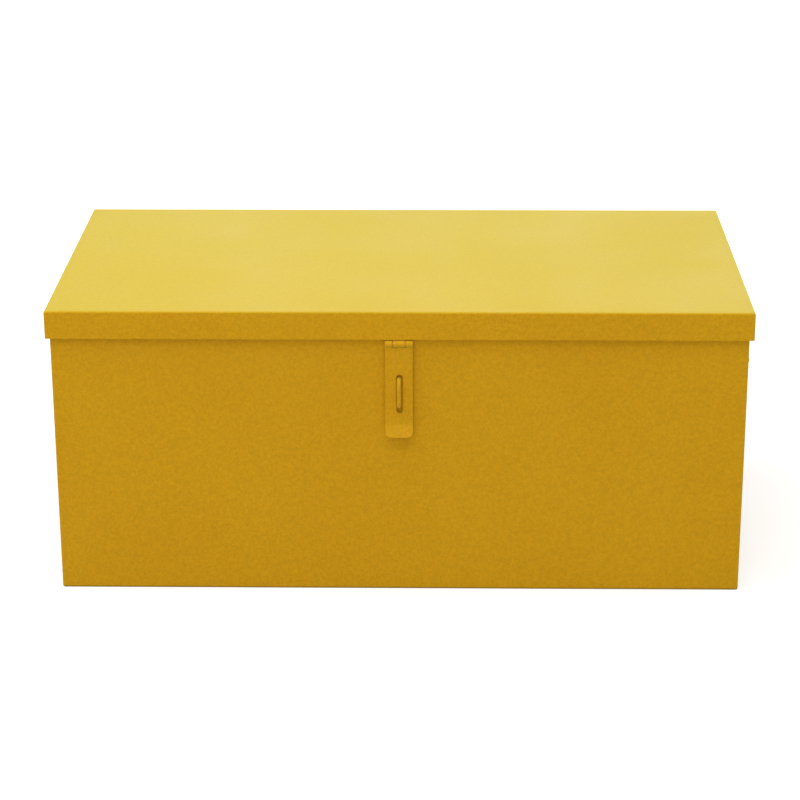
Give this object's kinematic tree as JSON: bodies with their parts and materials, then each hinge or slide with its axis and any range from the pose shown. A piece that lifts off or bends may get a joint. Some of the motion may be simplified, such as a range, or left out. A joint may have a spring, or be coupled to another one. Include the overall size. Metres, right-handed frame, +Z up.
{
  "type": "jobsite storage box",
  "caption": "Lockable sheet-steel tool chest with an overlapping hinged lid, a padlock hasp and staple, a sliding lid stay and fold-down end handles.",
  "frame": {"origin": "centre of the box's underside, on the ground", "axes": "+X to the right along the box, -Y out of the front wall with the hasp, +Z up"},
  "size_m": [0.7906, 0.4227, 0.3254],
  "materials": {
    "yellow_powder_coat": "semi-gloss textured powder coat",
    "zinc_plated_steel": "bright zinc plate",
    "black_vinyl": "soft matt vinyl"
  },
  "bodies": {
    "box": {"body_shell": "yellow_powder_coat", "end_panel_left": "yellow_powder_coat", "end_panel_right": "yellow_powder_coat", "staple": "yellow_powder_coat", "staple_backing_plate": "yellow_powder_coat", "hinge_body_leaf": "yellow_powder_coat", "hinge_pin": "yellow_powder_coat", "handle_plate_left": "yellow_powder_coat", "handle_plate_right": "yellow_powder_coat", "handle_rivets_left": "zinc_plated_steel", "handle_rivets_right": "zinc_plated_steel", "stay_stud": "zinc_plated_steel", "stay_washer": "zinc_plated_steel"},
    "lid": {"lid_pan": "yellow_powder_coat", "lid_stiffener": "yellow_powder_coat", "hinge_lid_leaf": "yellow_powder_coat", "hasp_hinge_leaf": "yellow_powder_coat", "hasp_pin": "yellow_powder_coat", "stay_bracket": "yellow_powder_coat", "stay_pivot_rivet": "zinc_plated_steel"},
    "hasp": {"hasp_strap": "yellow_powder_coat"},
    "stay": {"stay_arm": "zinc_plated_steel"},
    "handle_left": {"handle_bail_left": "zinc_plated_steel", "handle_grip_left": "black_vinyl"},
    "handle_right": {"handle_bail_right": "zinc_plated_steel", "handle_grip_right": "black_vinyl"}
  },
  "joints": [
    {"name": "lid_hinge", "type": "hinge", "parent": "box", "child": "lid", "pos_m": [0, 0.20205, 0.29085], "axis": [-1, 0, 0], "range_deg": [0, 110]},
    {"name": "stay_swing", "type": "hinge", "parent": "lid", "child": "stay", "pos_m": [0.3559, 0.08405, 0.31035], "axis": [-1, 0, 0], "range_deg": [-55, 0]},
    {"name": "hasp_swing", "type": "hinge", "parent": "lid", "child": "hasp", "pos_m": [0, -0.2026, 0.2895], "axis": [-1, 0, 0], "range_deg": [0, 150]},
    {"name": "handle_left_swing", "type": "hinge", "parent": "box", "child": "handle_left", "pos_m": [-0.3873, 0, 0.2259], "axis": [0, 1, 0], "range_deg": [0, 90]},
    {"name": "handle_right_swing", "type": "hinge", "parent": "box", "child": "handle_right", "pos_m": [0.3873, 0, 0.2259], "axis": [0, -1, 0], "range_deg": [0, 90]}
  ],
  "couplings": [
    {"joint": "stay_swing", "follows": "lid_hinge", "ratio": -0.5}
  ]
}
